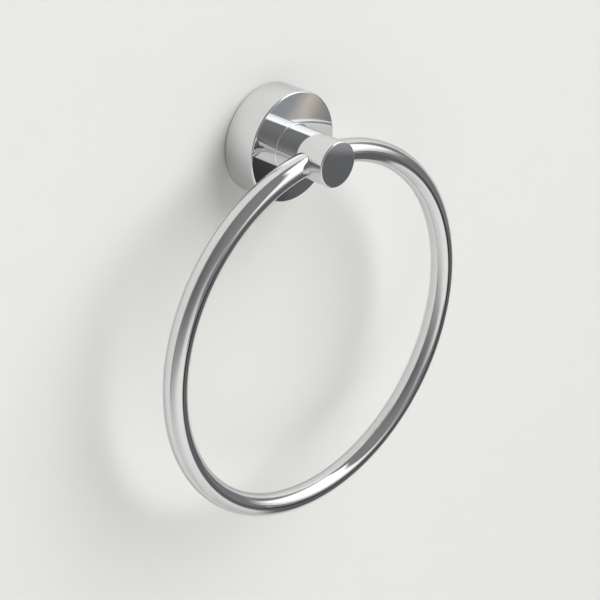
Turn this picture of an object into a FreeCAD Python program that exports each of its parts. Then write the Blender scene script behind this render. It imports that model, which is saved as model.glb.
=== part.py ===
import FreeCAD, Part
import math
import os

# Towel ring in millimetres, with the wall at y = 0, the post standing out along -y and +z up
# The origin is on the wall, at the centre of the rose

# Rose and post, one casting that is hollow behind
rose_radius = 26.25
rose_depth = 17.5
rose_side_wall = 2.85
rose_front_wall = 3.0
rose_edge_round = 0.8
rose_rim_round = 0.5
hollow_round = 1.0
post_radius = 10.9
post_end_wall = 6.5
post_edge_round = 0.8
post_foot_fillet = 0.7
core_wall = 4.25
core_taper = 0.4
core_round = 1.0
core_web = 3.0

# Ring, a round bar bent to an open hoop whose ends meet inside the post
ring_radius = 89.5
bar_radius = 5.5
ring_standoff = 34.0
ring_end_gap = 1.0
ring_bore_clearance = 0.05

# Wall bracket, a disc with an undercut edge inside the rose
bracket_clearance = 3.4
bracket_neck_length = 4.0
bracket_undercut = 3.0
bracket_land = 2.5
bracket_round = 0.4
bracket_hole_edge = 1.7
bracket_hole_clearance = 0.2

# Hook at the top of the rose, behind the bracket's undercut edge
hook_overlap = 1.2
hook_back = 1.0
hook_arc = 50.0
hook_clearance = 0.05

# Grub screw under the rose, with a cone point against the undercut edge
thread_clearance = 0.05
socket_chamfer = 0.3
rose_screw_radius = 2.5
rose_screw_point = 0.6
rose_screw_recess = 0.4
rose_screw_seat_gap = 0.02
rose_socket_width = 2.5
rose_socket_depth = 2.5
boss_wall = 2.0
boss_clearance = 1.4

# Grub screw under the post, with a flat point across both ends of the ring
ring_screw_radius = 2.0
ring_screw_point = 1.4
ring_screw_recess = 1.2
ring_screw_seat_gap = 0.01
ring_socket_width = 2.0
ring_socket_depth = 1.8

# Countersunk wall screws, each the outer form of its thread
wall_screw_radius = 2.0
wall_screw_length = 35.0
wall_screw_tip = 4.0
wall_screw_head_radius = 3.9
wall_screw_head_rim = 0.3
wall_screw_recess = 0.1
wall_screw_seat_gap = 0.05
cross_radius = 2.2
cross_width = 0.9
cross_depth = 2.2

# Wall plugs, slit so that they spread, with a closed tapered nose
plug_wall = 0.95
plug_bore_clearance = 0.05
plug_tip_room = 2.4
plug_end_wall = 2.0
plug_nose_length = 4.0
plug_nose_taper = 0.8
plug_mouth_length = 8.0
plug_slit_width = 0.8
plug_relief_clearance = 0.3
plug_relief_depth = 0.5

# Directions and places that several pieces share
origin = FreeCAD.Vector(0, 0, 0)
right = FreeCAD.Vector(1, 0, 0)
into_wall = FreeCAD.Vector(0, 1, 0)
up = FreeCAD.Vector(0, 0, 1)
full_turn = 360.0
quarter_turn = 90.0
hexagon_corners = 6
diagonal = math.sqrt(2)

hollow_radius = rose_radius - rose_side_wall
hollow_depth = rose_depth - rose_front_wall
side_wall_middle = hollow_radius + rose_side_wall / 2
post_reach = ring_standoff + bar_radius + post_end_wall
ring_centre = FreeCAD.Vector(0, -ring_standoff, -ring_radius)
ring_bore_radius = bar_radius + ring_bore_clearance

bracket_radius = hollow_radius - bracket_clearance
bracket_neck_radius = bracket_radius - bracket_undercut
bracket_thickness = bracket_neck_length + bracket_undercut + bracket_land

plug_radius = wall_screw_radius + plug_bore_clearance + plug_wall
plug_relief_radius = plug_radius + plug_relief_clearance
wall_hole_offset = bracket_neck_radius - bracket_hole_edge - plug_relief_radius
wall_screw_top = bracket_thickness - wall_screw_recess
wall_screw_reach = wall_screw_length - wall_screw_top
plug_length = wall_screw_reach + plug_tip_room + plug_end_wall

# The undercut edge slopes at 45 degrees, as the cone point of the screw does
rose_screw_depth = bracket_neck_length
rose_screw_apex = bracket_neck_radius + rose_screw_seat_gap * diagonal
rose_screw_tip = rose_screw_apex + rose_screw_point
rose_screw_length = rose_radius - rose_screw_recess - rose_screw_tip

# The flat point meets the inside of the hoop at the edge of the point
ring_inner_radius = ring_radius - bar_radius
ring_screw_rise = math.sqrt(ring_inner_radius**2 - ring_screw_point**2)
ring_screw_tip = ring_radius - ring_screw_rise + ring_screw_seat_gap
ring_screw_length = post_radius - ring_screw_recess - ring_screw_tip


def unit(vector):
    return vector * (1 / vector.Length)


# A half section is a list of corners: distance from the axis, depth off the wall, corner radius
def half_section(corners):
    points = [FreeCAD.Vector(radial, -depth, 0) for radial, depth, _ in corners]
    starts, middles, ends = [], [], []
    for index, point in enumerate(points):
        rounding = corners[index][2]
        back = unit(points[index - 1] - point)
        ahead = unit(points[(index + 1) % len(points)] - point)
        half_angle = back.getAngle(ahead) / 2
        run = rounding / math.tan(half_angle)
        inward = unit(back + ahead) if rounding else back
        middles.append(point + inward * (rounding / math.sin(half_angle) - rounding))
        starts.append(point + back * run)
        ends.append(point + ahead * run)
    edges = []
    for index, start in enumerate(starts):
        edges.append(Part.LineSegment(ends[index - 1], start).toShape())
        if corners[index][2]:
            edges.append(Part.Arc(start, middles[index], ends[index]).toShape())
    return Part.Face(Part.Wire(edges))


def turned(corners, angle=full_turn):
    return half_section(corners).revolve(origin, into_wall, angle)


def rose_shell():
    core_radius = post_radius - core_wall
    core_depth = ring_standoff - ring_bore_radius - core_web
    return turned([
        (hollow_radius, 0, 0),
        (rose_radius, 0, rose_rim_round),
        (rose_radius, rose_depth, rose_edge_round),
        (post_radius, rose_depth, post_foot_fillet),
        (post_radius, post_reach, post_edge_round),
        (0, post_reach, 0),
        (0, core_depth, 0),
        (core_radius - core_taper, core_depth, core_round),
        (core_radius, hollow_depth, 0),
        (hollow_radius, hollow_depth, hollow_round),
    ])


def bracket_hook():
    tip_radius = bracket_radius - hook_overlap
    slope_shift = hook_clearance * diagonal
    front = bracket_neck_length + bracket_undercut - slope_shift
    hook = turned([
        (tip_radius, hook_back, 0),
        (side_wall_middle, hook_back, 0),
        (side_wall_middle, front, 0),
        (bracket_radius, front, 0),
        (tip_radius, front - hook_overlap, 0),
    ], hook_arc)
    # The section starts at +x and its sweep about +y runs towards -z
    hook.rotate(origin, into_wall, -quarter_turn - hook_arc / 2)
    return hook


def screw_boss():
    inner_end = bracket_radius + boss_clearance
    base = FreeCAD.Vector(0, -rose_screw_depth, -inner_end)
    length = side_wall_middle - inner_end
    boss = Part.makeCylinder(rose_screw_radius + boss_wall, length, base, -up)
    disc = Part.makeCylinder(rose_radius, hollow_depth, origin, -into_wall)
    return boss.common(disc)


def rose_and_post():
    casting = rose_shell().fuse([bracket_hook(), screw_boss()])
    ring_bore = Part.makeTorus(ring_radius, ring_bore_radius, ring_centre, into_wall)
    rose_tap_base = FreeCAD.Vector(0, -rose_screw_depth, -bracket_radius)
    rose_tap = Part.makeCylinder(rose_screw_radius, rose_radius, rose_tap_base, -up)
    ring_tap_base = FreeCAD.Vector(0, -ring_standoff, 0)
    ring_tap = Part.makeCylinder(ring_screw_radius, rose_radius, ring_tap_base, -up)
    return casting.cut([ring_bore, rose_tap, ring_tap]).removeSplitter()


def ring():
    gap_angle = math.degrees(ring_end_gap / ring_radius)
    section = Part.Face(Part.Wire(Part.makeCircle(bar_radius, origin, right)))
    section.translate(FreeCAD.Vector(0, -ring_standoff, 0))
    section.rotate(ring_centre, into_wall, gap_angle / 2)
    return section.revolve(ring_centre, into_wall, full_turn - gap_angle)


def wall_bracket():
    bracket = turned([
        (0, 0, 0),
        (bracket_neck_radius, 0, 0),
        (bracket_neck_radius, bracket_neck_length, 0),
        (bracket_radius, bracket_neck_length + bracket_undercut, 0),
        (bracket_radius, bracket_thickness, bracket_round),
        (0, bracket_thickness, 0),
    ])
    hole_radius = wall_screw_radius + bracket_hole_clearance
    # The countersink is parallel to the cone under the screw's head
    cone_base = wall_screw_top - wall_screw_head_rim
    cone_radius = wall_screw_head_radius + wall_screw_seat_gap * diagonal
    mouth_radius = cone_radius + bracket_thickness - cone_base
    sink_depth = mouth_radius - hole_radius
    for side in (1, -1):
        centre = up * (side * wall_hole_offset)
        hole = Part.makeCylinder(hole_radius, bracket_thickness, centre, -into_wall)
        relief = Part.makeCylinder(plug_relief_radius, plug_relief_depth, centre, -into_wall)
        sink_base = centre - into_wall * (bracket_thickness - sink_depth)
        sink = Part.makeCone(hole_radius, mouth_radius, sink_depth, sink_base, -into_wall)
        bracket = bracket.cut([hole, relief, sink])
    return bracket


# A grub screw is made with its point on the origin and its socket end towards -z
def grub_screw(radius, point, length, socket_width, socket_depth):
    screw = turned([
        (0, 0, 0),
        (point, 0, 0),
        (radius, radius - point, 0),
        (radius, length - socket_chamfer, 0),
        (radius - socket_chamfer, length, 0),
        (0, length, 0),
    ])
    corner_radius = socket_width / 2 / math.cos(math.pi / hexagon_corners)
    corners = []
    for index in range(hexagon_corners + 1):
        angle = math.tau * index / hexagon_corners
        across = corner_radius * math.cos(angle)
        along = corner_radius * math.sin(angle)
        corners.append(FreeCAD.Vector(across, -length, along))
    socket = Part.Face(Part.makePolygon(corners)).extrude(into_wall * socket_depth)
    screw = screw.cut(socket)
    screw.rotate(origin, right, quarter_turn)
    return screw


def rose_grub_screw():
    radius = rose_screw_radius - thread_clearance
    screw = grub_screw(
        radius, rose_screw_point, rose_screw_length, rose_socket_width, rose_socket_depth
    )
    screw.translate(FreeCAD.Vector(0, -rose_screw_depth, -rose_screw_tip))
    return screw


def ring_grub_screw():
    radius = ring_screw_radius - thread_clearance
    screw = grub_screw(
        radius, ring_screw_point, ring_screw_length, ring_socket_width, ring_socket_depth
    )
    screw.translate(FreeCAD.Vector(0, -ring_standoff, -ring_screw_tip))
    return screw


def cross_recess():
    arm_corner = FreeCAD.Vector(-cross_radius, -wall_screw_top, -cross_width / 2)
    arm = Part.makeBox(2 * cross_radius, cross_depth, cross_width, arm_corner)
    other_arm = arm.copy()
    other_arm.rotate(origin, into_wall, quarter_turn)
    top = -into_wall * wall_screw_top
    taper = Part.makeCone(cross_radius, cross_width / 2, cross_depth, top, into_wall)
    return arm.fuse(other_arm).common(taper)


def wall_screw(height):
    rim_depth = wall_screw_top - wall_screw_head_rim
    cone_depth = rim_depth - wall_screw_head_radius + wall_screw_radius
    screw = turned([
        (0, -wall_screw_reach, 0),
        (wall_screw_radius, wall_screw_tip - wall_screw_reach, 0),
        (wall_screw_radius, cone_depth, 0),
        (wall_screw_head_radius, rim_depth, 0),
        (wall_screw_head_radius, wall_screw_top, 0),
        (0, wall_screw_top, 0),
    ])
    screw = screw.cut(cross_recess())
    screw.translate(up * height)
    return screw


def wall_plug(height):
    bore_radius = wall_screw_radius + plug_bore_clearance
    bore_depth = plug_length - plug_end_wall
    plug = turned([
        (bore_radius, 0, 0),
        (plug_radius, 0, 0),
        (plug_radius, plug_nose_length - plug_length, 0),
        (plug_radius - plug_nose_taper, -plug_length, 0),
        (0, -plug_length, 0),
        (0, -bore_depth, 0),
        (bore_radius, -bore_depth, 0),
    ])
    slit_length = plug_length - plug_mouth_length - plug_nose_length
    slit_corner = FreeCAD.Vector(-plug_slit_width / 2, plug_mouth_length, -plug_radius)
    slit = Part.makeBox(plug_slit_width, slit_length, 2 * plug_radius, slit_corner)
    plug = plug.cut(slit)
    plug.translate(up * height)
    return plug


pieces = {
    "rose_and_post": rose_and_post(),
    "ring": ring(),
    "wall_bracket": wall_bracket(),
    "rose_grub_screw": rose_grub_screw(),
    "ring_grub_screw": ring_grub_screw(),
}
for place, side in (("upper", 1), ("lower", -1)):
    pieces["wall_screw_" + place] = wall_screw(side * wall_hole_offset)
    pieces["wall_plug_" + place] = wall_plug(side * wall_hole_offset)

os.makedirs("parts", exist_ok=True)
for node, shape in pieces.items():
    solid = shape.Solids[0]
    solid.exportStep("parts/" + node + ".step")
    print(node, len(shape.Solids), shape.isValid(), round(solid.Volume, 1))
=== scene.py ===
import math
import bmesh
import bpy
import numpy as np
from mathutils import Matrix, Vector


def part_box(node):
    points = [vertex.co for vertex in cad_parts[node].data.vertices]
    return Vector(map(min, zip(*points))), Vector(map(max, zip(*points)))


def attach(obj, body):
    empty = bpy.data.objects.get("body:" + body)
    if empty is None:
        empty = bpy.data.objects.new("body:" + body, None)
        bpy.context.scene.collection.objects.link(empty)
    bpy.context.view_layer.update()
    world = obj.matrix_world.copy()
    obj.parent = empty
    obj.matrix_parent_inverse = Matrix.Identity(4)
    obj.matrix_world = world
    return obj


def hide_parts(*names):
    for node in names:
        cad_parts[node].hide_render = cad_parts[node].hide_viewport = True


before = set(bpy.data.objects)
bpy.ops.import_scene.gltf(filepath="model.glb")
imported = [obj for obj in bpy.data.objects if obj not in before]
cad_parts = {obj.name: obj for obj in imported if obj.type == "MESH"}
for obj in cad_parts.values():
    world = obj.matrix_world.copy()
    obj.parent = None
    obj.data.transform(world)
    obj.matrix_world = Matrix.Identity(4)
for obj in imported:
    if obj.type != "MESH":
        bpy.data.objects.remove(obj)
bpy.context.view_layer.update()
print("frame loaded with", len(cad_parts), "nodes")

mm = 0.001
body = "root"
scene = bpy.context.scene
scene.view_settings.view_transform = "Standard"


# Helpers for node trees

def addNode(tree, kind, inputs=None, **settings):
    made = tree.nodes.new(kind)
    for name, value in settings.items():
        setattr(made, name, value)
    for name, value in (inputs or {}).items():
        if isinstance(value, bpy.types.NodeSocket):
            tree.links.new(value, made.inputs[name])
        else:
            made.inputs[name].default_value = value
    return made


def calc(tree, operation, *values):
    return addNode(tree, "ShaderNodeMath", dict(enumerate(values)), operation=operation).outputs[0]


def mapped(tree, value, fromLow, fromHigh, toLow=0.0, toHigh=1.0, curve="SMOOTHSTEP"):
    ranges = {"Value": value, "From Min": fromLow, "From Max": fromHigh, "To Min": toLow, "To Max": toHigh}
    return addNode(tree, "ShaderNodeMapRange", ranges, interpolation_type=curve).outputs["Result"]


def noise(tree, place, scale, detail, roughness=0.5):
    settings = {"Vector": place, "Scale": scale, "Detail": detail, "Roughness": roughness}
    return addNode(tree, "ShaderNodeTexNoise", settings).outputs["Fac"]


def mixColor(tree, factor, first, second):
    made = addNode(tree, "ShaderNodeMix", data_type="RGBA")
    for socket, value in zip((made.inputs[0], made.inputs[6], made.inputs[7]), (factor, first, second)):
        if isinstance(value, bpy.types.NodeSocket):
            tree.links.new(value, socket)
        else:
            socket.default_value = value
    return made.outputs[2]


# Camera, solved from the edges of the object in the picture

cameraSpec = {
    "place": (-0.4956, -0.5199, 0.2994),
    "heading": 44.87,  # degrees from +Y towards +X
    "dip": 28.20,
    "roll": 0.06,
    "lens": 100.5,
}


def makeCamera(spec):
    heading, dip, roll = (math.radians(spec[name]) for name in ("heading", "dip", "roll"))
    ahead = Vector((math.sin(heading) * math.cos(dip), math.cos(heading) * math.cos(dip), -math.sin(dip)))
    level = ahead.cross(Vector((0, 0, 1))).normalized()
    upright = level.cross(ahead)
    right = math.cos(roll) * level + math.sin(roll) * upright
    above = math.cos(roll) * upright - math.sin(roll) * level
    data = bpy.data.cameras.new("camera")
    data.lens = spec["lens"]
    data.sensor_width = 36
    camera = bpy.data.objects.new("camera", data)
    turn = Matrix((right, above, -ahead)).transposed()
    camera.matrix_world = Matrix.Translation(spec["place"]) @ turn.to_4x4()
    scene.collection.objects.link(camera)
    scene.camera = camera


makeCamera(cameraSpec)
print("camera set")


# Studio: soft light by direction, seen from the object
# Longitude 0 points straight out of the wall and 90 along +X, latitude is the height, both in degrees

studioLevels = {  # grey of the surroundings by latitude
    -90: 0.62, -60: 0.665, -45: 0.65, -30: 0.55, -15: 0.41, 0: 0.30,
    12: 0.205, 25: 0.14, 38: 0.13, 60: 0.18, 90: 0.25,
}
studioPanels = {  # west, east, lean, south, north, softness of sides, foot and top, colour
    "streak": (-21, 8, 0.0, -300, 2, 28, 1, 53, (0.76, 0.75, 0.74)),
    "lowerGlow": (-40, 300, 0.0, -52, -15, 70, 45, 22, (0.90, 0.88, 0.85)),
    "upperGlow": (-40, 300, 0.0, 12, 75, 90, 20, 30, (0.24, 0.24, 0.24)),
    "besideWall": (-300, -80, 0.0, -20, 300, 12, 40, 1, (0.28, 0.28, 0.27)),
    "eastGlow": (72, 300, 0.0, 28, 300, 20, 40, 1, (0.50, 0.50, 0.49)),
    "darkSide": (-4, 300, 1.0, -64, -4, 12, 12, 12, (0.132, 0.135, 0.139)),
    "shelf": (12, 300, 0.0, -23.0, -4, 12, 0.6, 10, (0.20, 0.205, 0.215)),
    "ledge": (45.9, 300, 0.0, -23.1, -22.5, 0.3, 0.4, 0.4, (0.34, 0.34, 0.35)),
    "coolGlint": (42.0, 45.0, 0.0, -22.6, -18, 0.6, 0.6, 2, (0.29, 0.31, 0.335)),
    "warmGlint": (57.08, 57.44, -0.56, -22.6, -18, 0.2, 0.6, 2, (1.22, 1.06, 0.86)),
    "sill": (19, 57, 0.0, -10.5, 4, 12, 3, 6, (0.75, 0.75, 0.74)),
    "darkCorner": (30, 44.2, 0.0, -32, -23.0, 0.9, 4, 0.8, (0.03, 0.03, 0.03)),
}
windowSpec = {
    "place": (20, 68, -0.22, 0, 59, 9, 16, 7),  # as for a panel
    "gradeFrom": 2,  # the sky behind it grows brighter upwards
    "gradeTo": 55,
    "lowLevel": 1.25,
    "highLevel": 1.7,
}
softboxSpec = {  # lights the wall and casts the shadows; no lamp is mirrored
    "longitude": 46,
    "latitude": 40,
    "distance": 8.0,
    "width": 7.2,
    "height": 11.0,
    "power": 705,
    "color": (1.0, 0.995, 0.985),
}
fillSpec = {  # lifts the shadows from below
    "longitude": -36,
    "latitude": -20,
    "distance": 2.0,
    "width": 1.4,
    "height": 0.9,
    "power": 3.4,
    "color": (1.0, 1.0, 1.0),
}
behindSpec = {  # what the back of the object mirrors, past the plane of the wall
    "color": (0.62, 0.62, 0.61, 1),
    "from": 88.0,
    "full": 96.0,
}
backgroundColor = (0.80, 0.80, 0.79, 1)  # seen by the camera alone


def greyRamp(tree, latitude):
    share = mapped(tree, latitude, -90.0, 90.0, curve="LINEAR")
    ramp = addNode(tree, "ShaderNodeValToRGB", {"Fac": share})
    elements = ramp.color_ramp.elements
    while len(elements) < len(studioLevels):
        elements.new(0.5)
    for element, (height, level) in zip(elements, sorted(studioLevels.items())):
        element.position = (height + 90) / 180
        element.color = (level, level, level, 1)
    return ramp.outputs["Color"]


def panelMask(tree, longitude, latitude, west, east, lean, south, north, side, foot, top):
    leaning = calc(tree, "ADD", longitude, calc(tree, "MULTIPLY", latitude, lean))
    edges = [
        mapped(tree, leaning, west - side / 2, west + side / 2),
        mapped(tree, leaning, east - side / 2, east + side / 2, 1.0, 0.0),
        mapped(tree, latitude, south - foot / 2, south + foot / 2),
        mapped(tree, latitude, north - top / 2, north + top / 2, 1.0, 0.0),
    ]
    across = calc(tree, "MULTIPLY", edges[0], edges[1])
    upright = calc(tree, "MULTIPLY", edges[2], edges[3])
    return calc(tree, "MULTIPLY", across, upright)


def skyColor(tree, latitude):
    level = mapped(
        tree, latitude, windowSpec["gradeFrom"], windowSpec["gradeTo"],
        windowSpec["lowLevel"], windowSpec["highLevel"], "LINEAR",
    )
    channels = {"Red": level, "Green": level, "Blue": level}
    return addNode(tree, "ShaderNodeCombineColor", channels).outputs["Color"]


def makeStudioLight():
    world = bpy.data.worlds.new("studio")
    world.use_nodes = True
    scene.world = world
    tree = world.node_tree
    tree.nodes.clear()
    direction = addNode(tree, "ShaderNodeTexCoord").outputs["Generated"]
    axes = addNode(tree, "ShaderNodeSeparateXYZ", {0: direction}).outputs
    toDegrees = 180 / math.pi
    latitude = calc(tree, "MULTIPLY", calc(tree, "ARCSINE", axes["Z"]), toDegrees)
    outward = calc(tree, "MULTIPLY", axes["Y"], -1.0)
    longitude = calc(tree, "MULTIPLY", calc(tree, "ARCTAN2", axes["X"], outward), toDegrees)
    color = greyRamp(tree, latitude)
    for *place, tint in studioPanels.values():
        color = mixColor(tree, panelMask(tree, longitude, latitude, *place), color, tint + (1,))
    inWindow = panelMask(tree, longitude, latitude, *windowSpec["place"])
    color = mixColor(tree, inWindow, color, skyColor(tree, latitude))
    behind = mapped(tree, calc(tree, "ABSOLUTE", longitude), behindSpec["from"], behindSpec["full"])
    color = mixColor(tree, behind, color, behindSpec["color"])
    light = addNode(tree, "ShaderNodeBackground", {"Color": color})
    plain = addNode(tree, "ShaderNodeBackground", {"Color": backgroundColor})
    toCamera = addNode(tree, "ShaderNodeLightPath").outputs["Is Camera Ray"]
    both = addNode(tree, "ShaderNodeMixShader", {0: toCamera, 1: light.outputs[0], 2: plain.outputs[0]})
    addNode(tree, "ShaderNodeOutputWorld", {"Surface": both.outputs[0]})


def makeLamp(name, spec):
    longitude, latitude = math.radians(spec["longitude"]), math.radians(spec["latitude"])
    level = math.cos(latitude)
    outward = Vector((math.sin(longitude) * level, -math.cos(longitude) * level, math.sin(latitude)))
    data = bpy.data.lights.new(name, "AREA")
    data.shape = "ELLIPSE"
    data.size = spec["width"]
    data.size_y = spec["height"]
    data.energy = spec["power"]
    data.color = spec["color"]
    lamp = bpy.data.objects.new(name, data)
    turn = outward.to_track_quat("Z", "Y").to_matrix().to_4x4()
    lamp.matrix_world = Matrix.Translation(outward * spec["distance"]) @ turn
    lamp.visible_glossy = False
    lamp.visible_camera = False
    scene.collection.objects.link(lamp)


makeStudioLight()
makeLamp("softbox", softboxSpec)
makeLamp("fill", fillSpec)
print("studio light set")


# Stage: the wall that the object hangs on, and a floor well below it

stageSpec = {
    "wallColor": (0.80, 0.80, 0.785, 1),
    "mottleScale": 9.0,
    "mottleShare": 0.985,  # of the colour, where it is darkest
    "roughness": 0.55,
    "wallWidth": 6.0,
    "wallSetback": 0.0005,  # behind the panel, so that neither shades the other
    "floorDrop": 1.2,
    "floorWidth": 6.0,
    "floorColor": (0.50, 0.50, 0.49, 1),
    "panelLow": (-0.38, -1.2),  # the stretch of wall that the camera sees
    "panelHigh": (0.38, 0.18),
    "wallHole": 0.0252,  # behind the rim of the rose
    "holeSides": 128,
}


def plasterMaterial(name, base):
    material = bpy.data.materials.new(name)
    material.use_nodes = True
    tree = material.node_tree
    shader = tree.nodes["Principled BSDF"]
    place = addNode(tree, "ShaderNodeTexCoord").outputs["Object"]
    mottle = noise(tree, place, stageSpec["mottleScale"], detail=3.0)
    darker = tuple(channel * stageSpec["mottleShare"] for channel in base[:3]) + (1,)
    tree.links.new(mixColor(tree, mottle, darker, base), shader.inputs["Base Color"])
    shader.inputs["Roughness"].default_value = stageSpec["roughness"]
    clear = addNode(tree, "ShaderNodeBsdfTransparent")
    back = addNode(tree, "ShaderNodeNewGeometry").outputs["Backfacing"]
    toCamera = addNode(tree, "ShaderNodeLightPath").outputs["Is Camera Ray"]
    seenFromBehind = calc(tree, "MULTIPLY", back, toCamera)
    shaders = {0: seenFromBehind, 1: shader.outputs[0], 2: clear.outputs[0]}
    mixed = addNode(tree, "ShaderNodeMixShader", shaders)
    tree.links.new(mixed.outputs[0], tree.nodes["Material Output"].inputs["Surface"])
    return material


# A flat stretch of wall with a round hole in it, so that the rose is open from behind
def wallMesh(name, low, high):
    sides = stageSpec["holeSides"]
    hole = []
    edge = []
    for index in range(sides):
        angle = math.tau * (index + 0.5) / sides
        along, upward = math.cos(angle), math.sin(angle)
        hole.append((stageSpec["wallHole"] * along, 0, stageSpec["wallHole"] * upward))
        reachX = (high[0] if along > 0 else low[0]) / along
        reachZ = (high[1] if upward > 0 else low[1]) / upward
        reach = min(reachX, reachZ)
        edge.append((reach * along, 0, reach * upward))
    faces = []
    for index in range(sides):
        after = (index + 1) % sides
        faces.append((sides + index, sides + after, after, index))
    mesh = bpy.data.meshes.new(name)
    mesh.from_pydata(hole + edge, [], faces)
    mesh.update()
    if mesh.polygons[0].normal.y > 0:
        mesh.flip_normals()
    return mesh


def makeStage():
    paleWall = plasterMaterial("pale_wall", stageSpec["wallColor"])
    paleFloor = plasterMaterial("pale_floor", stageSpec["floorColor"])
    width = stageSpec["wallWidth"] / 2
    wall = bpy.data.objects.new("wall", wallMesh("wall", (-width, -width), (width, width)))
    wall.location.y = stageSpec["wallSetback"]
    wall.visible_camera = False
    panelMesh = wallMesh("wall_panel", stageSpec["panelLow"], stageSpec["panelHigh"])
    panel = bpy.data.objects.new("wall_panel", panelMesh)
    panel.visible_diffuse = False
    panel.visible_glossy = False
    panel.visible_transmission = False
    panel.visible_shadow = False
    half = stageSpec["floorWidth"] / 2
    drop = -stageSpec["floorDrop"]
    floorMesh = bpy.data.meshes.new("floor")
    corners = [(-half, -half, drop), (half, -half, drop), (half, half, drop), (-half, half, drop)]
    floorMesh.from_pydata(corners, [], [(0, 1, 2, 3)])
    floor = bpy.data.objects.new("floor", floorMesh)
    floor.visible_glossy = False
    for piece, material in ((wall, paleWall), (panel, paleWall), (floor, paleFloor)):
        piece.data.materials.append(material)
        scene.collection.objects.link(piece)


makeStage()
print("stage made")


# Finishes

def newMaterial(name):
    material = bpy.data.materials.new(name)
    material.use_nodes = True
    tree = material.node_tree
    place = addNode(tree, "ShaderNodeTexCoord").outputs["Object"]
    return material, tree, tree.nodes["Principled BSDF"], place


roseDepth = 17.5 * mm
rimRound = 0.5 * mm
ringFinish = {
    "bright": (0.825, 0.83, 0.835, 1),
    "dark": (0.795, 0.80, 0.805, 1),
    "edgeTint": (0.62, 0.62, 0.63, 1),  # how much a grazing edge still mirrors
    "roughLow": 0.02,
    "roughHigh": 0.04,
    "cloudScale": 55.0,
    "cloudRange": (0.35, 0.65),
}
roseFinish = {
    **ringFinish,
    "edgeTint": (0.82, 0.82, 0.83, 1),
    "faceRoughLow": 0.045,  # the flat face is a little less bright than the rest
    "faceRoughHigh": 0.065,
    "faceFade": (0.02 * mm, 0.12 * mm),
    "rimPaintedShade": (0.36, 0.36, 0.36, 1),  # painted contact shade: the rear edge round is darker where the rose meets the wall
    "rimRough": 0.45,
    "rimShadeFade": 0.6,
}
zincFinish = {
    "bright": (0.60, 0.61, 0.62, 1),
    "dark": (0.45, 0.46, 0.47, 1),
    "roughLow": 0.32,
    "roughHigh": 0.46,
    "cloudScale": 160.0,
    "cloudRange": (0.3, 0.7),
    "markScale": 5200.0,  # rings that the turning tool left
    "bump": 0.35,
}
grubFinish = {
    "bright": (0.47, 0.47, 0.48, 1),
    "dark": (0.34, 0.34, 0.35, 1),
    "roughLow": 0.28,
    "roughHigh": 0.42,
    "cloudScale": 420.0,
    "cloudRange": (0.3, 0.7),
    "bump": 0.2,
}
screwFinish = {
    **grubFinish,
    "bright": (0.70, 0.69, 0.65, 1),
    "dark": (0.56, 0.58, 0.60, 1),
    "roughLow": 0.20,
    "roughHigh": 0.32,
}
nylonFinish = {
    "bright": (0.56, 0.57, 0.58, 1),
    "dark": (0.50, 0.51, 0.52, 1),
    "roughLow": 0.42,
    "roughHigh": 0.55,
    "cloudScale": 240.0,
    "cloudRange": (0.3, 0.7),
    "grainScale": 3200.0,
    "bump": 0.25,
    "depthShare": 0.15,
    "lightDepth": 0.6 * mm,
}
bumpDistance = 0.02 * mm


def cloudRough(tree, cloud, finish, low, high):
    return mapped(tree, cloud, *finish["cloudRange"], low, high)


def cloudy(tree, cloud, finish):
    color = mixColor(tree, cloud, finish["dark"], finish["bright"])
    return color, cloudRough(tree, cloud, finish, finish["roughLow"], finish["roughHigh"])


def applyFinish(tree, shader, color, rough, metallic):
    tree.links.new(color, shader.inputs["Base Color"])
    tree.links.new(rough, shader.inputs["Roughness"])
    shader.inputs["Metallic"].default_value = metallic


def addBump(tree, shader, height, strength):
    relief = {"Height": height, "Strength": strength, "Distance": bumpDistance}
    bump = addNode(tree, "ShaderNodeBump", relief)
    tree.links.new(bump.outputs[0], shader.inputs["Normal"])


def polishedChrome(name, finish):
    material, tree, shader, place = newMaterial(name)
    cloud = noise(tree, place, finish["cloudScale"], detail=2.0)
    color, rough = cloudy(tree, cloud, finish)
    # Only the rose finish has the satin face and the painted shade on its rear edge
    if "rimPaintedShade" in finish:
        axes = addNode(tree, "ShaderNodeSeparateXYZ", {0: place}).outputs
        depth = calc(tree, "MULTIPLY", axes["Y"], -1.0)
        satin = cloudRough(tree, cloud, finish, finish["faceRoughLow"], finish["faceRoughHigh"])
        offFace = calc(tree, "ABSOLUTE", calc(tree, "SUBTRACT", depth, roseDepth))
        onFace = mapped(tree, offFace, *finish["faceFade"], 1.0, 0.0)
        duller = calc(tree, "MULTIPLY", onFace, calc(tree, "SUBTRACT", satin, rough))
        rough = calc(tree, "ADD", rough, duller)
        # Painted contact shade: over the rear edge round the colour darkens and the roughness rises
        rimShadeMask = mapped(tree, depth, finish["rimShadeFade"] * rimRound, rimRound, 1.0, 0.0)
        color = mixColor(tree, rimShadeMask, color, finish["rimPaintedShade"])
        rough = calc(tree, "MAXIMUM", rough, calc(tree, "MULTIPLY", rimShadeMask, finish["rimRough"]))
    applyFinish(tree, shader, color, rough, 1.0)
    shader.inputs["Specular Tint"].default_value = finish["edgeTint"]
    return material


def turnedZinc(finish):
    material, tree, shader, place = newMaterial("turned_zinc")
    axes = addNode(tree, "ShaderNodeSeparateXYZ", {0: place}).outputs
    flat = addNode(tree, "ShaderNodeCombineXYZ", {"X": axes["X"], "Y": axes["Z"]}).outputs[0]
    spoke = addNode(tree, "ShaderNodeVectorMath", {0: flat}, operation="LENGTH").outputs["Value"]
    lines = {"W": spoke, "Scale": finish["markScale"], "Detail": 2.0}
    marks = addNode(tree, "ShaderNodeTexNoise", lines, noise_dimensions="1D").outputs["Fac"]
    cloud = noise(tree, place, finish["cloudScale"], detail=4.0)
    applyFinish(tree, shader, *cloudy(tree, cloud, finish), 1.0)
    addBump(tree, shader, marks, finish["bump"])
    return material


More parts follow.
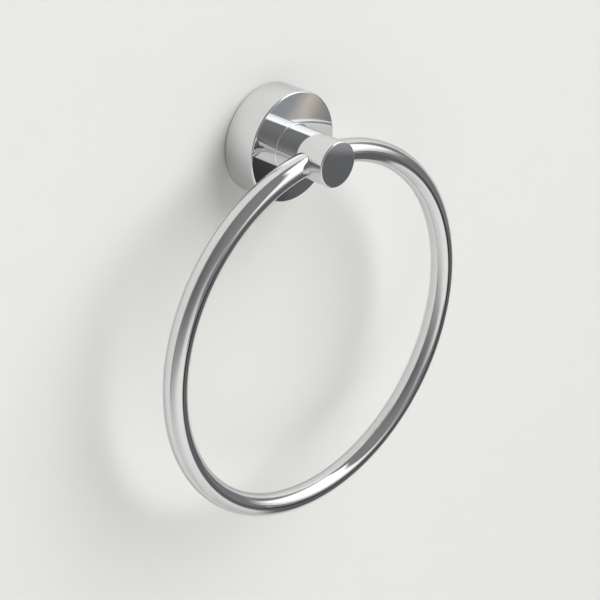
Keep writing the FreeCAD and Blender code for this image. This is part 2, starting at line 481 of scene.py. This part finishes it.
def cutSteel(name, finish):
    material, tree, shader, place = newMaterial(name)
    cloud = noise(tree, place, finish["cloudScale"], detail=5.0, roughness=0.6)
    applyFinish(tree, shader, *cloudy(tree, cloud, finish), 1.0)
    addBump(tree, shader, cloud, finish["bump"])
    return material


def mouldedNylon(finish):
    material, tree, shader, place = newMaterial("moulded_nylon")
    cloud = noise(tree, place, finish["cloudScale"], detail=3.0)
    grain = noise(tree, place, finish["grainScale"], detail=2.0)
    applyFinish(tree, shader, *cloudy(tree, cloud, finish), 0.0)
    addBump(tree, shader, grain, finish["bump"])
    shader.inputs["Subsurface Weight"].default_value = finish["depthShare"]
    shader.inputs["Subsurface Radius"].default_value = (finish["lightDepth"],) * 3
    return material


ringChrome = polishedChrome("ring_chrome", ringFinish)
roseChrome = polishedChrome("rose_chrome", roseFinish)
bracketZinc = turnedZinc(zincFinish)
grubSteel = cutSteel("grub_steel", grubFinish)
screwSteel = cutSteel("screw_steel", screwFinish)
plugNylon = mouldedNylon(nylonFinish)
print("finishes made")


# Ring: a round bar bent to a hoop, swept by a node tree that also makes the bore for it

ringSpec = {
    "endGap": 1.0 * mm,
    "steps": 360,
    "sides": 72,
}
boreSpec = {
    "clearance": 0.05 * mm,
    "halfAngle": 10.0,  # degrees of the hoop that the cutter covers each way from its top
    "steps": 96,
    "sides": 96,
}
ringLow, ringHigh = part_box("ring")
barRadius = round((ringHigh.y - ringLow.y) / 2, 5)
ringRadius = round((ringHigh.x - ringLow.x) / 2 - barRadius, 4)
ringCentre = Vector((0, round((ringHigh.y + ringLow.y) / 2, 4), -ringRadius))


def geometryTree(name, sizes):
    tree = bpy.data.node_groups.new(name, "GeometryNodeTree")
    tree.interface.new_socket(name="Geometry", in_out="OUTPUT", socket_type="NodeSocketGeometry")
    kinds = {int: "NodeSocketInt", float: "NodeSocketFloat", Vector: "NodeSocketVector"}
    for label, value in sizes.items():
        socket = tree.interface.new_socket(name=label, in_out="INPUT", socket_type=kinds[type(value)])
        socket.default_value = value
    tree.interface.new_socket(name="Material", in_out="INPUT", socket_type="NodeSocketMaterial")
    return tree, addNode(tree, "NodeGroupInput").outputs


def endTree(tree, entry, geometry, sharpAngle=35.0):
    smooth = addNode(tree, "GeometryNodeSetShadeSmooth", {"Geometry": geometry, "Shade Smooth": True})
    edgeAngle = addNode(tree, "GeometryNodeInputMeshEdgeAngle").outputs["Unsigned Angle"]
    isSharp = addNode(tree, "FunctionNodeCompare", {"A": edgeAngle, "B": math.radians(sharpAngle)})
    edges = addNode(tree, "GeometryNodeSetShadeSmooth", {
        "Geometry": smooth.outputs[0], "Selection": isSharp.outputs["Result"], "Shade Smooth": False,
    }, domain="EDGE")
    whole = addNode(tree, "GeometryNodeRealizeInstances", {"Geometry": edges.outputs[0]})
    dressed = addNode(tree, "GeometryNodeSetMaterial", {
        "Geometry": whole.outputs[0], "Material": entry["Material"],
    })
    addNode(tree, "NodeGroupOutput", {"Geometry": dressed.outputs[0]})


def plainMesh(name, tree, sizes, material):
    made = bpy.data.objects.new(name, bpy.data.meshes.new(name))
    scene.collection.objects.link(made)
    modifier = made.modifiers.new("shape", "NODES")
    modifier.node_group = tree
    entries = [item for item in tree.interface.items_tree if item.in_out == "INPUT"]
    identifiers = {item.name: item.identifier for item in entries}
    for label, value in {**sizes, "Material": material}.items():
        modifier[identifiers[label]] = value
    graph = bpy.context.evaluated_depsgraph_get()
    mesh = bpy.data.meshes.new_from_object(made.evaluated_get(graph))
    made.modifiers.remove(modifier)
    made.data = mesh
    return made


def bentBarTree():
    tree, entry = geometryTree("bent_bar", {
        "Hoop Radius": 90 * mm, "Bar Radius": 5 * mm, "Centre": Vector(),
        "Start": 0.0, "Sweep": 1.0, "Steps": 64, "Sides": 32,
    })
    hoop = addNode(tree, "GeometryNodeCurveArc", {
        "Resolution": entry["Steps"], "Radius": entry["Hoop Radius"],
        "Start Angle": entry["Start"], "Sweep Angle": entry["Sweep"],
    }, mode="RADIUS")
    upright = addNode(tree, "GeometryNodeTransform", {
        "Geometry": hoop.outputs["Curve"], "Translation": entry["Centre"], "Rotation": (math.pi / 2, 0, 0),
    })
    section = addNode(tree, "GeometryNodeCurvePrimitiveCircle", {
        "Resolution": entry["Sides"], "Radius": entry["Bar Radius"],
    })
    bar = addNode(tree, "GeometryNodeCurveToMesh", {
        "Curve": upright.outputs[0], "Profile Curve": section.outputs["Curve"], "Fill Caps": True,
    })
    endTree(tree, entry, bar.outputs["Mesh"])
    return tree


bentBar = bentBarTree()
gapAngle = ringSpec["endGap"] / ringRadius
ring = plainMesh("hoop", bentBar, {
    "Hoop Radius": ringRadius, "Bar Radius": barRadius, "Centre": ringCentre,
    "Start": math.pi / 2 + gapAngle / 2, "Sweep": math.tau - gapAngle,
    "Steps": ringSpec["steps"], "Sides": ringSpec["sides"],
}, ringChrome)
halfAngle = math.radians(boreSpec["halfAngle"])
boreCutter = plainMesh("bore_cutter", bentBar, {
    "Hoop Radius": ringRadius, "Bar Radius": barRadius + boreSpec["clearance"], "Centre": ringCentre,
    "Start": math.pi / 2 - halfAngle, "Sweep": 2 * halfAngle,
    "Steps": boreSpec["steps"], "Sides": boreSpec["sides"],
}, roseChrome)
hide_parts("ring")
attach(ring, body)
print("ring made")


# Rose and post: one casting, turned from its half section, with a hook and a screw boss inside

castingSpec = {
    "postRadius": 10.9 * mm,
    "sideWall": 2.85 * mm,
    "frontWall": 3.0 * mm,
    "edgeRound": 0.8 * mm,
    "footFillet": 0.7 * mm,
    "hollowRound": 1.0 * mm,
    "coreRadius": 6.65 * mm,
    "coreTaper": 0.4 * mm,
    "coreEnd": 25.45 * mm,
    "turnSteps": 256,
    "roundSteps": 8,
}
hookSpec = {
    "inner": 18.8 * mm,
    "outer": 24.8 * mm,  # inside the side wall
    "back": 1.0 * mm,
    "front": 6.93 * mm,
    "rise": 1.2 * mm,
    "arc": 50.0,
    "steps": 40,
}
bossSpec = {
    "radius": 4.5 * mm,
    "depth": 4.0 * mm,
    "innerEnd": 21.4 * mm,
    "outerEnd": 24.8 * mm,
    "rimSetback": 0.05 * mm,
    "roseTap": 2.5 * mm,
    "postTap": 2.0 * mm,
    "tapSides": 64,
}
castingLow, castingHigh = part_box("rose_and_post")
roseRadius = round(castingHigh.x, 5)
postReach = round(-castingLow.y, 4)


# An outline is a list of corners: distance from the axis, depth off the wall, rounding
# Its runs keep the true normals, so that a mirror finish shows no facets
def outlineRuns(corners, roundSteps):
    runs = []
    count = len(corners)
    points = [Vector(corner[:2]) for corner in corners]
    headings = [(after - point).normalized() for point, after in zip(points, points[1:] + points[:1])]
    normals = [Vector((heading.y, -heading.x)) for heading in headings]
    trims = []
    for index, corner in enumerate(corners):
        turn = headings[index - 1].angle_signed(headings[index], 0.0)
        trims.append(corner[2] * math.tan(abs(turn) / 2))
    for index in range(count):
        following = (index + 1) % count
        begin = points[index] + headings[index] * trims[index]
        end = points[following] - headings[index] * trims[following]
        runs.append((begin, end, normals[index], normals[index]))
        rounding = corners[following][2]
        if not rounding:
            continue
        before, after = normals[index], normals[following]
        outward = 1 if before.cross(after) > 0 else -1
        centre = end - before * rounding * outward
        fan = [before.lerp(after, step / roundSteps).normalized() for step in range(roundSteps + 1)]
        rim = [centre + normal * rounding * outward for normal in fan]
        runs += zip(rim, rim[1:], fan, fan[1:])
    return runs


mergeDistance = 0.0001 * mm


def meshFrom(name, vertices, faces):
    mesh = bpy.data.meshes.new(name)
    mesh.from_pydata(vertices, [], faces)
    work = bmesh.new()
    work.from_mesh(mesh)
    bmesh.ops.remove_doubles(work, verts=work.verts, dist=mergeDistance)
    bmesh.ops.recalc_face_normals(work, faces=work.faces)
    work.to_mesh(mesh)
    work.free()
    made = bpy.data.objects.new(name, mesh)
    scene.collection.objects.link(made)
    return made


def turned(name, outline, steps, start=0.0, sweep=360.0):
    whole = sweep == 360.0
    rows = []
    vertices = []
    columns = steps if whole else steps + 1
    for radial, depth in outline:
        row = []
        for index in range(columns):
            angle = math.radians(start + sweep * index / steps)
            if radial > 0 or index == 0:
                row.append(len(vertices))
                vertices.append((radial * math.cos(angle), -depth, radial * math.sin(angle)))
            else:
                row.append(row[0])
        rows.append(row)
    faces = []
    for row, after in zip(rows, rows[1:] + rows[:1]):
        for index in range(steps):
            following = (index + 1) % columns
            corners = dict.fromkeys((row[index], row[following], after[following], after[index]))
            if len(corners) > 2:
                faces.append(tuple(corners))
    if not whole:
        faces.append([row[0] for row in rows])
        faces.append([row[-1] for row in rows])
    return meshFrom(name, vertices, faces)


def prism(name, outline, low, high):
    count = len(outline)
    vertices = [(across, -depth, level) for level in (low, high) for across, depth in outline]
    faces = []
    for index in range(count):
        after = (index + 1) % count
        faces.append((index, after, count + after, count + index))
    faces += [tuple(range(count)), tuple(range(count, 2 * count))]
    return meshFrom(name, vertices, faces)


def circleOutline(radius, depth, sides, shallowest=-1.0):
    points = []
    for index in range(sides):
        angle = math.tau * (index + 0.5) / sides
        points.append((radius * math.cos(angle), max(depth + radius * math.sin(angle), shallowest)))
    return points


def combine(target, operation, *others):
    for other in others:
        modifier = target.modifiers.new("combine", "BOOLEAN")
        modifier.operation = operation
        modifier.solver = "EXACT"
        modifier.object = other
        graph = bpy.context.evaluated_depsgraph_get()
        mesh = bpy.data.meshes.new_from_object(target.evaluated_get(graph))
        target.modifiers.remove(modifier)
        target.data = mesh
        bpy.data.objects.remove(other)


def dress(piece, material, *nodes):
    piece.data.materials.clear()
    piece.data.materials.append(material)
    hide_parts(*nodes)
    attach(piece, body)


# Distance from the axis of the post, and depth off the wall
def sectionOf(points):
    return np.stack([np.hypot(points[:, 0], points[:, 2]), -points[:, 1]], 1)


# The way from the hoop's centre line, and its length
def fromHoop(points):
    centre = np.array(ringCentre)
    planar = (points - centre) * (1, 0, 1)
    nearest = centre + planar / np.linalg.norm(planar, axis=1, keepdims=True) * ringRadius
    away = points - nearest
    return away, np.linalg.norm(away, axis=1)


def readArray(items, field, width=1, kind=np.float32):
    values = np.empty((len(items), width) if width > 1 else len(items), kind)
    items.foreach_get(field, values.ravel())
    return values


# For each corner, whether its face lies on a turned run, and the true normal of that run there
def turnedNormals(centres, corners, faceOf, runs, tolerance):
    parts = [np.array([tuple(run[part]) for run in runs]) for part in range(4)]
    begins, ends, firstNormals, lastNormals = parts
    along = ends - begins
    squares = (along ** 2).sum(1) + 1e-18  # never nought
    offsets = sectionOf(centres)[:, None] - begins
    shares = np.clip((offsets * along).sum(2) / squares, 0, 1)
    gaps = np.linalg.norm(offsets - shares[..., None] * along, axis=2)
    owner = gaps.argmin(1)[faceOf]
    flat = sectionOf(corners)
    share = np.clip(((flat - begins[owner]) * along[owner]).sum(1) / squares[owner], 0, 1)[:, None]
    plane = firstNormals[owner] * (1 - share) + lastNormals[owner] * share
    plane /= np.linalg.norm(plane, axis=1, keepdims=True)
    spoke = corners[:, [0, 2]] / np.maximum(flat[:, :1], 1e-9)
    normals = np.stack([plane[:, 0] * spoke[:, 0], -plane[:, 1], plane[:, 0] * spoke[:, 1]], 1)
    return gaps.min(1)[faceOf] < tolerance, normals


# Corner normals of the exact turned surface and of the bore, in place of those of the facets
def giveTrueNormals(mesh, runs, boreRadius=None, tolerance=0.02 * mm):
    mesh.shade_smooth()
    mesh.set_sharp_from_angle(angle=math.radians(30))
    places = readArray(mesh.vertices, "co", 3)
    centres = readArray(mesh.polygons, "center", 3)
    normals = readArray(mesh.corner_normals, "vector", 3)
    sizes = readArray(mesh.polygons, "loop_total", kind=np.int32)
    faceOf = np.repeat(np.arange(len(sizes)), sizes)
    corners = places[readArray(mesh.loops, "vertex_index", kind=np.int32)]
    onTurned, exact = turnedNormals(centres, corners, faceOf, runs, tolerance)
    normals[onTurned] = exact[onTurned]
    if boreRadius:
        distance = fromHoop(centres)[1]
        inBore = (abs(distance - boreRadius) < tolerance)[faceOf] & ~onTurned
        away, reach = fromHoop(corners)
        normals[inBore] = -(away / reach[:, None])[inBore]
    mesh.normals_split_custom_set(normals)


def makeCasting():
    spec = castingSpec
    hollowRadius = roseRadius - spec["sideWall"]
    hollowDepth = roseDepth - spec["frontWall"]
    corners = [
        (hollowRadius, 0, 0),
        (roseRadius, 0, rimRound),
        (roseRadius, roseDepth, spec["edgeRound"]),
        (spec["postRadius"], roseDepth, spec["footFillet"]),
        (spec["postRadius"], postReach, spec["edgeRound"]),
        (0, postReach, 0),
        (0, spec["coreEnd"], 0),
        (spec["coreRadius"] - spec["coreTaper"], spec["coreEnd"], spec["hollowRound"]),
        (spec["coreRadius"], hollowDepth, 0),
        (hollowRadius, hollowDepth, spec["hollowRound"]),
    ]
    runs = outlineRuns(corners, spec["roundSteps"])
    casting = turned("casting", [tuple(run[0]) for run in runs], spec["turnSteps"])
    hook = turned("hook", [
        (hookSpec["inner"], hookSpec["back"]),
        (hookSpec["outer"], hookSpec["back"]),
        (hookSpec["outer"], hookSpec["front"]),
        (hookSpec["inner"] + hookSpec["rise"], hookSpec["front"]),
        (hookSpec["inner"], hookSpec["front"] - hookSpec["rise"]),
    ], hookSpec["steps"], 90 - hookSpec["arc"] / 2, hookSpec["arc"])
    sides = bossSpec["tapSides"]
    bossOutline = circleOutline(bossSpec["radius"], bossSpec["depth"], sides, bossSpec["rimSetback"])
    boss = prism("boss", bossOutline, -bossSpec["outerEnd"], -bossSpec["innerEnd"])
    roseTapOutline = circleOutline(bossSpec["roseTap"], bossSpec["depth"], sides)
    roseTap = prism("rose_tap", roseTapOutline, -2 * roseRadius, -hookSpec["inner"])
    postTapOutline = circleOutline(bossSpec["postTap"], -ringCentre.y, sides)
    postTap = prism("post_tap", postTapOutline, -roseRadius, 0)
    combine(casting, "UNION", hook, boss)
    combine(casting, "DIFFERENCE", boreCutter, roseTap, postTap)
    giveTrueNormals(casting.data, runs, barRadius + boreSpec["clearance"])
    dress(casting, roseChrome, "rose_and_post")
    return casting


casting = makeCasting()
print("casting made with", len(casting.data.polygons), "faces")


# Small pieces behind the rose, each inside the outer form of its solid

def moved(piece, turn=Matrix.Identity(4), shift=(0, 0, 0)):
    piece.data.transform(Matrix.Translation(shift) @ turn)


def smoothFaces(piece, angle=30.0):
    piece.data.shade_smooth()
    piece.data.set_sharp_from_angle(angle=math.radians(angle))


def outlinePoints(corners, roundSteps=4):
    return [tuple(run[0]) for run in outlineRuns(corners, roundSteps)]


bracketSpec = {
    "neckRadius": 17.0 * mm,
    "neckLength": 4.0 * mm,
    "discRadius": 20.0 * mm,
    "undercut": 3.0 * mm,
    "thickness": 9.5 * mm,
    "edgeRound": 0.4 * mm,
    "holeOffset": 12.0 * mm,
    "holeRadius": 2.2 * mm,
    "mouthRadius": 4.37 * mm,
    "reliefRadius": 3.3 * mm,
    "reliefDepth": 0.5 * mm,
    "cutBeyond": 1.0 * mm,  # how far the cutter of a hole stands out
    "roundSteps": 6,
    "turnSteps": 192,
    "holeSteps": 64,
}


def makeBracket():
    spec = bracketSpec
    front = spec["thickness"]
    runs = outlineRuns([
        (0, 0, 0),
        (spec["neckRadius"], 0, 0),
        (spec["neckRadius"], spec["neckLength"], 0),
        (spec["discRadius"], spec["neckLength"] + spec["undercut"], 0),
        (spec["discRadius"], front, spec["edgeRound"]),
        (0, front, 0),
    ], spec["roundSteps"])
    bracket = turned("bracket", [tuple(run[0]) for run in runs], spec["turnSteps"])
    beyond = spec["cutBeyond"]
    sink = spec["mouthRadius"] - spec["holeRadius"]
    for side in (1, -1):
        hole = turned("bracket_hole", [
            (0, -beyond),
            (spec["reliefRadius"], -beyond),
            (spec["reliefRadius"], spec["reliefDepth"]),
            (spec["holeRadius"], spec["reliefDepth"]),
            (spec["holeRadius"], front - sink),
            (spec["mouthRadius"] + beyond, front + beyond),
            (0, front + beyond),
        ], spec["holeSteps"])
        moved(hole, shift=(0, 0, side * spec["holeOffset"]))
        combine(bracket, "DIFFERENCE", hole)
    giveTrueNormals(bracket.data, runs)
    dress(bracket, bracketZinc, "wall_bracket")


makeBracket()
print("bracket made")


threadSpec = {  # what all threads share
    "bury": 0.2 * mm,  # how deep the ridge sits in its core
    "sink": 1.3,  # share of its height by which it sinks at both ends
    "pointNarrowing": 0.92,  # share of the helix that is gone at the tip of a wood screw
    "ridgeNarrowing": 0.6,  # and of the ridge itself
}


# A thread is a ridge swept along a helix, which sinks into its core at both ends
def threadTree():
    sizes = {
        "Root Radius": 1.5 * mm, "Depth": 0.5 * mm, "Root Width": 0.6 * mm, "Crest Width": 0.1 * mm,
        "Bury": threadSpec["bury"], "Pitch": 0.8 * mm, "Turns": 5.0, "Steps": 36, "Fade": 0.1, "Point": 0.0,
        "Rotation": Vector(), "Start": Vector(),
    }
    tree, entry = geometryTree("thread", sizes)
    helix = addNode(tree, "GeometryNodeCurveSpiral", {
        "Resolution": entry["Steps"], "Rotations": entry["Turns"],
        "Start Radius": entry["Root Radius"], "End Radius": entry["Root Radius"],
        "Height": calc(tree, "MULTIPLY", entry["Pitch"], entry["Turns"]), "Reverse": True,
    })
    along = addNode(tree, "GeometryNodeSplineParameter").outputs["Factor"]
    rise = mapped(tree, along, 0.0, entry["Fade"], 1.0, 0.0)
    fall = mapped(tree, along, calc(tree, "SUBTRACT", 1.0, entry["Fade"]), 1.0)
    sunk = calc(tree, "MAXIMUM", rise, fall)
    sinkDepth = calc(tree, "MULTIPLY", entry["Depth"], threadSpec["sink"])
    sinking = calc(tree, "DIVIDE", sinkDepth, entry["Root Radius"])
    pointFrom = calc(tree, "SUBTRACT", 1.0, entry["Point"])
    pointed = mapped(tree, along, pointFrom, 1.0, 0.0, threadSpec["pointNarrowing"], "LINEAR")
    unpointed = calc(tree, "SUBTRACT", 1.0, pointed)
    narrowed = calc(tree, "SUBTRACT", unpointed, calc(tree, "MULTIPLY", sunk, sinking))
    place = addNode(tree, "GeometryNodeInputPosition").outputs[0]
    scale = addNode(tree, "ShaderNodeCombineXYZ", {"X": narrowed, "Y": narrowed, "Z": 1.0}).outputs[0]
    drawnIn = addNode(tree, "ShaderNodeVectorMath", {0: place, 1: scale}, operation="MULTIPLY").outputs[0]
    shaped = addNode(tree, "GeometryNodeSetPosition", {
        "Geometry": helix.outputs["Curve"], "Position": drawnIn,
    })
    level = addNode(tree, "GeometryNodeSetCurveNormal", {"Curve": shaped.outputs[0]}, mode="Z_UP")
    height = calc(tree, "ADD", entry["Depth"], entry["Bury"])
    section = addNode(tree, "GeometryNodeCurvePrimitiveQuadrilateral", mode="TRAPEZOID")
    widths = {"Bottom Width": entry["Root Width"], "Top Width": entry["Crest Width"], "Height": height}
    for label, value in widths.items():
        tree.links.new(value, section.inputs[label])
    section.inputs["Offset"].default_value = 0.0
    middle = calc(tree, "DIVIDE", calc(tree, "SUBTRACT", entry["Depth"], entry["Bury"]), 2.0)
    seat = addNode(tree, "ShaderNodeCombineXYZ", {"X": middle}).outputs[0]
    outward = addNode(tree, "GeometryNodeTransform", {
        "Geometry": section.outputs["Curve"], "Translation": seat, "Rotation": (0, 0, -math.pi / 2),
    })
    narrowing = calc(tree, "MULTIPLY", pointed, threadSpec["ridgeNarrowing"])
    ridge = addNode(tree, "GeometryNodeCurveToMesh", {
        "Curve": level.outputs[0], "Profile Curve": outward.outputs[0],
        "Scale": calc(tree, "SUBTRACT", 1.0, narrowing), "Fill Caps": True,
    })
    placed = addNode(tree, "GeometryNodeTransform", {
        "Geometry": ridge.outputs["Mesh"], "Translation": entry["Start"], "Rotation": entry["Rotation"],
    })
    endTree(tree, entry, placed.outputs[0])
    return tree


thread = threadTree()
alongY = Vector((-math.pi / 2, 0, 0))  # turns a helix about Z to one about +Y
grubSpecs = {
    "rose_screw": {
        "node": "rose_grub_screw", "centreDepth": 4.0 * mm, "point": 0.6 * mm, "depth": 0.5 * mm,
        "pitch": 0.8 * mm, "socketWidth": 2.5 * mm, "socketDepth": 2.5 * mm, "threadFrom": 1.7 * mm,
    },
    "ring_screw": {
        "node": "ring_grub_screw", "centreDepth": 34.0 * mm, "point": 1.4 * mm, "depth": 0.42 * mm,
        "pitch": 0.7 * mm, "socketWidth": 2.0 * mm, "socketDepth": 1.8 * mm, "threadFrom": 0.5 * mm,
    },
}
grubShared = {
    "chamfer": 0.3 * mm,
    "rootShare": 0.95,  # widths of the ridge as shares of the pitch
    "crestShare": 0.16,
    "fadeTurns": 0.5,
    "cutBeyond": 1.0 * mm,
    "steps": 48,
    "sides": 64,
}


def hexagon(width, depth):
    radius = width / 2 / math.cos(math.pi / 6)
    angles = [math.tau * step / 6 for step in range(6)]
    return [(radius * math.cos(angle), depth + radius * math.sin(angle)) for angle in angles]


def makeGrubScrew(name, spec):
    low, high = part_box(spec["node"])
    crest = round((high.x - low.x) / 2, 5)
    core = crest - spec["depth"]
    length = high.z - low.z
    chamfer = grubShared["chamfer"]
    screw = turned(name, outlinePoints([
        (0, 0, 0),
        (spec["point"], 0, 0),
        (core, core - spec["point"], 0),
        (core, length - chamfer, 0),
        (core - chamfer, length, 0),
        (0, length, 0),
    ]), grubShared["sides"])
    moved(screw, Matrix.Rotation(math.pi / 2, 4, "X"), (0, -spec["centreDepth"], high.z))
    pitch = spec["pitch"]
    turns = (length - spec["threadFrom"] - chamfer) / pitch
    ridge = plainMesh("ridge", thread, {
        "Root Radius": core, "Depth": spec["depth"], "Root Width": grubShared["rootShare"] * pitch,
        "Crest Width": grubShared["crestShare"] * pitch, "Bury": threadSpec["bury"], "Pitch": pitch,
        "Turns": turns, "Steps": grubShared["steps"], "Fade": grubShared["fadeTurns"] / turns,
        "Point": 0.0, "Rotation": Vector(), "Start": Vector((0, -spec["centreDepth"], low.z + chamfer)),
    }, grubSteel)
    socketOutline = hexagon(spec["socketWidth"], spec["centreDepth"])
    socket = prism("socket", socketOutline, low.z - grubShared["cutBeyond"], low.z + spec["socketDepth"])
    combine(screw, "UNION", ridge)
    combine(screw, "DIFFERENCE", socket)
    smoothFaces(screw)
    dress(screw, grubSteel, spec["node"])


for name, spec in grubSpecs.items():
    makeGrubScrew(name, spec)
print("grub screws made")


wallScrewSpec = {
    "coreRadius": 1.4 * mm,
    "headRadius": 3.9 * mm,
    "headRim": 0.3 * mm,
    "headRound": 0.12 * mm,
    "tip": 4.0 * mm,
    "pitch": 1.8 * mm,
    "threadFrom": 5.5 * mm,  # from the seat of the head
    "threadEnd": 0.2 * mm,  # short of the tip
    "crestRadius": 2.0 * mm,
    "rootWidth": 0.7 * mm,
    "crestWidth": 0.12 * mm,
    "fadeTurns": 0.35,
    "steps": 40,
    "crossRadius": 2.2 * mm,
    "crossWidth": 0.9 * mm,
    "crossDepth": 2.2 * mm,
    "crossFoot": 0.5 * mm,
    "crossBeyond": 0.2 * mm,
    "sides": 64,
}


def spanned(name, rings):
    count = len(rings[0])
    vertices = [place for ring in rings for place in ring]
    faces = [tuple(range(count)), tuple(range(len(vertices) - count, len(vertices)))]
    for level in range(len(rings) - 1):
        base = level * count
        for index in range(count):
            after = (index + 1) % count
            faces.append((base + index, base + after, base + count + after, base + count + index))
    return meshFrom(name, vertices, faces)


def crossOutline(reach, width):
    half = width / 2
    quarter = [(reach, -half), (reach, half), (half, half)]
    points = []
    for turn in range(4):
        cosine, sine = round(math.cos(turn * math.pi / 2)), round(math.sin(turn * math.pi / 2))
        points += [(x * cosine - z * sine, x * sine + z * cosine) for x, z in quarter]
    return points


def makeWallScrew(name, node):
    spec = wallScrewSpec
    low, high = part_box(node)
    height = (low.z + high.z) / 2
    top, reach = -low.y, high.y
    core, head = spec["coreRadius"], spec["headRadius"]
    screw = turned(name, outlinePoints([
        (0, -reach, 0),
        (core, spec["tip"] - reach, 0),
        (core, top - spec["headRim"] - head + core, 0),
        (head, top - spec["headRim"], 0),
        (head, top, spec["headRound"]),
        (0, top, 0),
    ]), spec["sides"])
    moved(screw, shift=(0, 0, height))
    start = -top + spec["threadFrom"]
    turns = (reach - start - spec["threadEnd"]) / spec["pitch"]
    ridge = plainMesh("ridge", thread, {
        "Root Radius": core, "Depth": spec["crestRadius"] - core, "Root Width": spec["rootWidth"],
        "Crest Width": spec["crestWidth"], "Bury": threadSpec["bury"], "Pitch": spec["pitch"],
        "Turns": turns, "Steps": spec["steps"], "Fade": spec["fadeTurns"] / turns,
        "Point": spec["tip"] / (reach - start), "Rotation": alongY, "Start": Vector((0, start, height)),
    }, screwSteel)
    levels = [
        (top - spec["crossDepth"], spec["crossFoot"]),
        (top + spec["crossBeyond"], spec["crossRadius"]),
    ]
    rings = []
    for depth, arm in levels:
        rings.append([(x, -depth, height + z) for x, z in crossOutline(arm, spec["crossWidth"])])
    recess = spanned("recess", rings)
    combine(screw, "UNION", ridge)
    combine(screw, "DIFFERENCE", recess)
    smoothFaces(screw)
    dress(screw, screwSteel, node)


plugSpec = {
    "barrelRadius": 2.72 * mm,
    "collar": 1.6 * mm,
    "barrelEnd": 26.0 * mm,
    "noseTaper": 0.8 * mm,
    "boreRadius": 2.05 * mm,
    "boreDepth": 28.0 * mm,
    "mouth": 8.0 * mm,
    "slitWidth": 0.8 * mm,
    "slitEnd": 25.2 * mm,
    "ribRadius": 3.0 * mm,
    "ribRoot": 2.6 * mm,
    "ribLength": 1.7 * mm,
    "ribPitch": 2.3 * mm,
    "ribStart": 3.0 * mm,
    "ribs": 10,
    "ribTurn": 0.04,  # radians, so that no edge of a rib falls on one of the barrel
    "boreTurn": 2.0,  # degrees, for the same reason
    "cutBeyond": 1.0 * mm,
    "sides": 48,
}


def ribTree():
    sizes = {
        "Count": 8, "Pitch": 2.0 * mm, "Start": Vector(), "Rib Radius": 3.0 * mm,
        "Root Radius": 2.6 * mm, "Length": 1.6 * mm, "Sides": 48, "Rotation": Vector(),
    }
    tree, entry = geometryTree("plug_ribs", sizes)
    step = addNode(tree, "ShaderNodeCombineXYZ", {"Y": entry["Pitch"]}).outputs[0]
    row = addNode(tree, "GeometryNodeMeshLine", {
        "Count": entry["Count"], "Start Location": entry["Start"], "Offset": step,
    })
    rib = addNode(tree, "GeometryNodeMeshCone", {
        "Vertices": entry["Sides"], "Radius Top": entry["Root Radius"],
        "Radius Bottom": entry["Rib Radius"], "Depth": entry["Length"],
    })
    ribs = addNode(tree, "GeometryNodeInstanceOnPoints", {
        "Points": row.outputs[0], "Instance": rib.outputs["Mesh"], "Rotation": entry["Rotation"],
    })
    endTree(tree, entry, ribs.outputs[0])
    return tree


plugRibs = ribTree()


def makeWallPlug(name, node):
    spec = plugSpec
    low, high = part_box(node)
    height = (low.z + high.z) / 2
    nose = high.y
    barrel, rib = spec["barrelRadius"], spec["ribRadius"]
    plug = turned(name, [
        (0, 0),
        (0, -nose),
        (rib - spec["noseTaper"], -nose),
        (barrel, -spec["barrelEnd"]),
        (barrel, -spec["collar"]),
        (rib, -spec["collar"]),
        (rib, 0),
    ], spec["sides"])
    moved(plug, shift=(0, 0, height))
    ribs = plainMesh("ribs", plugRibs, {
        "Count": spec["ribs"], "Pitch": spec["ribPitch"], "Start": Vector((0, spec["ribStart"], height)),
        "Rib Radius": rib, "Root Radius": spec["ribRoot"], "Length": spec["ribLength"],
        "Sides": spec["sides"], "Rotation": alongY + Vector((0, spec["ribTurn"], 0)),
    }, plugNylon)
    bore = turned("bore", [
        (0, spec["cutBeyond"]),
        (0, -spec["boreDepth"]),
        (spec["boreRadius"], -spec["boreDepth"]),
        (spec["boreRadius"], spec["cutBeyond"]),
    ], spec["sides"], spec["boreTurn"])
    moved(bore, shift=(0, 0, height))
    half = spec["slitWidth"] / 2
    near, far = -spec["mouth"], -spec["slitEnd"]
    slitOutline = [(-half, near), (half, near), (half, far), (-half, far)]
    slit = prism("slit", slitOutline, height - 2 * rib, height + 2 * rib)
    combine(plug, "UNION", ribs)
    combine(plug, "DIFFERENCE", bore, slit)
    smoothFaces(plug)
    dress(plug, plugNylon, node)


for place in ("upper", "lower"):
    makeWallScrew(place + "_screw", "wall_screw_" + place)
    makeWallPlug(place + "_plug", "wall_plug_" + place)
print("wall screws and plugs made")
